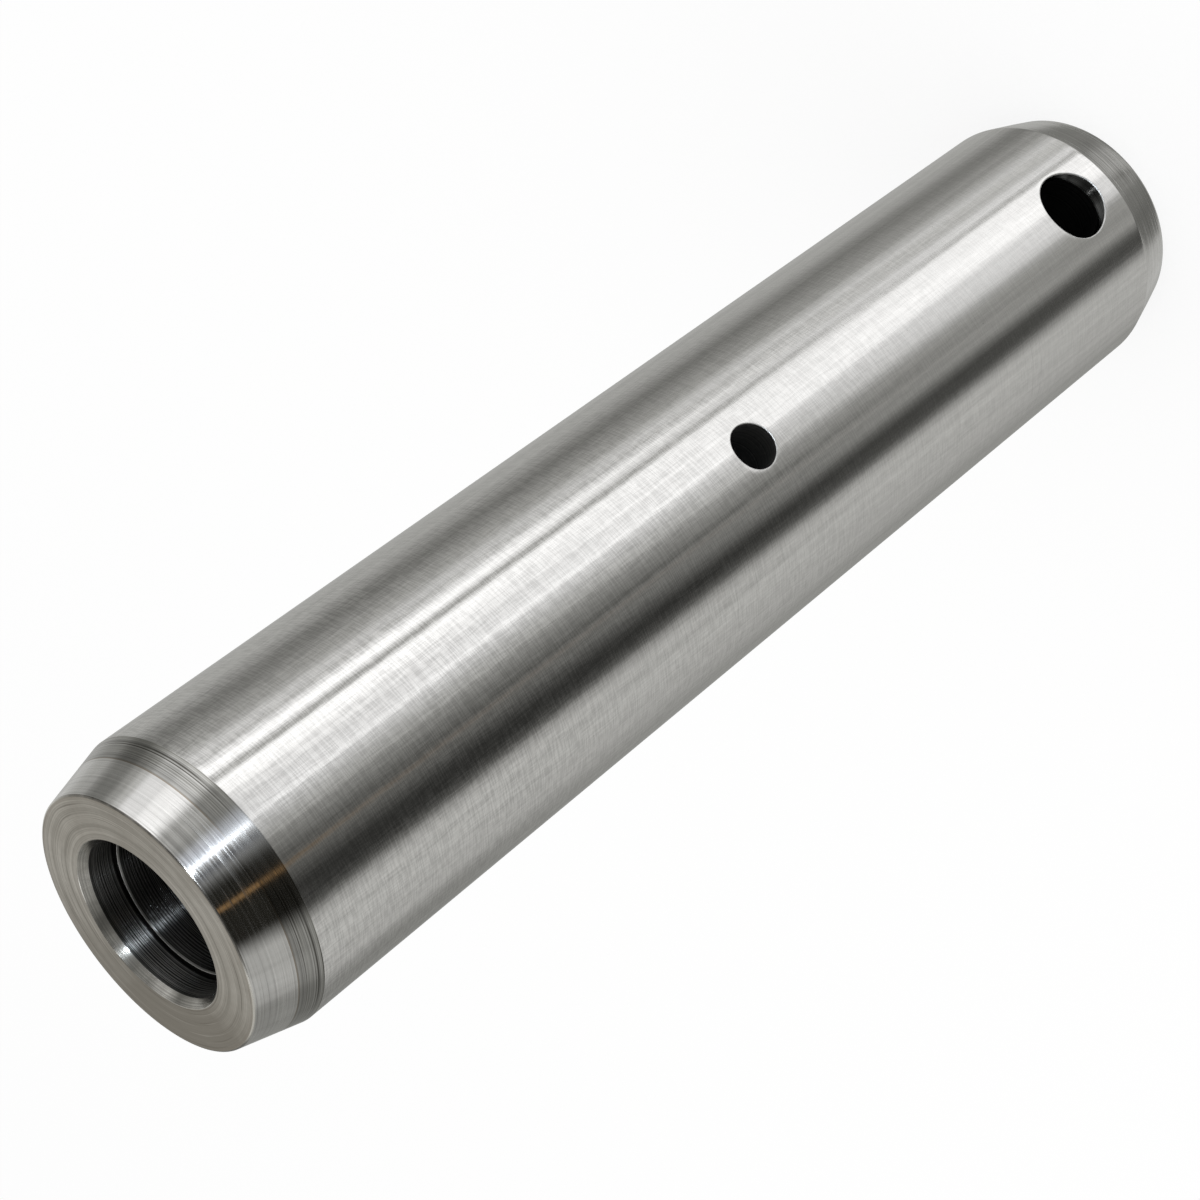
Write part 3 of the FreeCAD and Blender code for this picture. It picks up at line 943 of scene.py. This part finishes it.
# %% Cards and lamps above, for the end face, the rims and the chamfers
panels += [
    (grey(0.5, 0.02), 180, 60, 20, 14, 66, 6),
    (grey(0.26), 0, 104, 8, 24, 92, 4),
    (grey(0.46), -86, 11, 7, 22, 50, 5),
    (grey(0.13), -42, 13, 7, 26, 60, 5),
    (grey(0.34), 50, 9, 5, 26, 54, 5),
    (grey(0.66), 79, 14, 6, 20, 48, 5),
    (grey(1.40), -116, 14, 7, 40, 57, 4),
    (grey(0.11), -20, 80, 12, 58, 84, 4),
    (grey(0.75), 5, 3.5, 3, 40, 58, 4),
    (grey(6.0), 8, 3, 2, 64, 80, 3),
    ((2.4, 2.5, 2.65), 6.8, 1.5, 0.9, -8, 16, 3),
]
room = (0.51, 0.508, 0.492)
for one_panel in panels:
    room = panel(room, *one_panel)
print(len(panels), "soft boxes and cards in the studio")

# %% The cloth of the boxes isn't even
circle = point(tree, maths(tree, "SINE", compass), maths(tree, "COSINE", compass), 0.0)
folds = grain(tree, circle, (13, 13, 13), detail=3, roughness=0.6)
cloth = maths(tree, "MULTIPLY_ADD", folds, 0.16, 0.92)
room = blend(tree, 1.0, room, cloth, kind="MULTIPLY")

# %% What each kind of ray sees of the world
ray = node(tree, "LightPath").outputs
even = node(tree, "Background", {"Color": (0.78, 0.78, 0.78, 1), "Strength": 1.0}).outputs[0]
mirrored = node(tree, "Background", {"Color": room, "Strength": 1.0}).outputs[0]
white = node(tree, "Background", {"Color": (0.99, 0.99, 0.99, 1), "Strength": 1.0}).outputs[0]
seen = node(tree, "MixShader", {0: ray["Is Glossy Ray"], 1: even, 2: mirrored}).outputs[0]
seen = node(tree, "MixShader", {0: ray["Is Camera Ray"], 1: seen, 2: white}).outputs[0]
node(tree, "OutputWorld", {0: seen})
print("white for the camera, the studio for reflections, an even grey for all other light")

# %% [markdown]
# ### Lamps
# Two real lamps stand in the studio. A large one above the pin draws the soft shadow on
# the floor and isn't mirrored. A narrow upright strip in front of the bored end is
# mirrored only, and draws the thin streak down the walls of the bore.

# %% Lamps
def area_lamp(name, shape, width, energy, place, aim):
    lamp = bpy.data.lights.new(name, "AREA")
    lamp.shape = shape
    lamp.size = width
    lamp.energy = energy
    box = bpy.data.objects.new(name, lamp)
    box.location = place
    box.rotation_euler = (Vector(aim) - box.location).to_track_quat("-Z", "Y").to_euler()
    bpy.context.scene.collection.objects.link(box)
    print("lamp", name)
    return box


key_box = area_lamp("key soft box", "SQUARE", 1.2, 6.0, (-0.6, -0.5, 1.6), (0, 0, 0.14))
key_box.visible_glossy = False

strip_distance = 4.0
strip_compass = math.radians(5.5)
strip_climb = math.radians(26)
strip_reach = strip_distance * math.cos(strip_climb)
strip_place = (
    strip_reach * math.sin(strip_compass),
    -strip_reach * math.cos(strip_compass),
    pin_length * mm + strip_distance * math.sin(strip_climb),
)
strip_box = area_lamp(
    "strip lamp", "RECTANGLE", 0.16, 52.0, strip_place, (0, 0, pin_length * mm),
)
strip_box.data.size_y = 1.35
strip_box.data.color = (0.82, 0.91, 1.0)
strip_box.visible_diffuse = False
strip_box.visible_camera = False

# %% View settings
bpy.context.scene.view_settings.view_transform = "Standard"
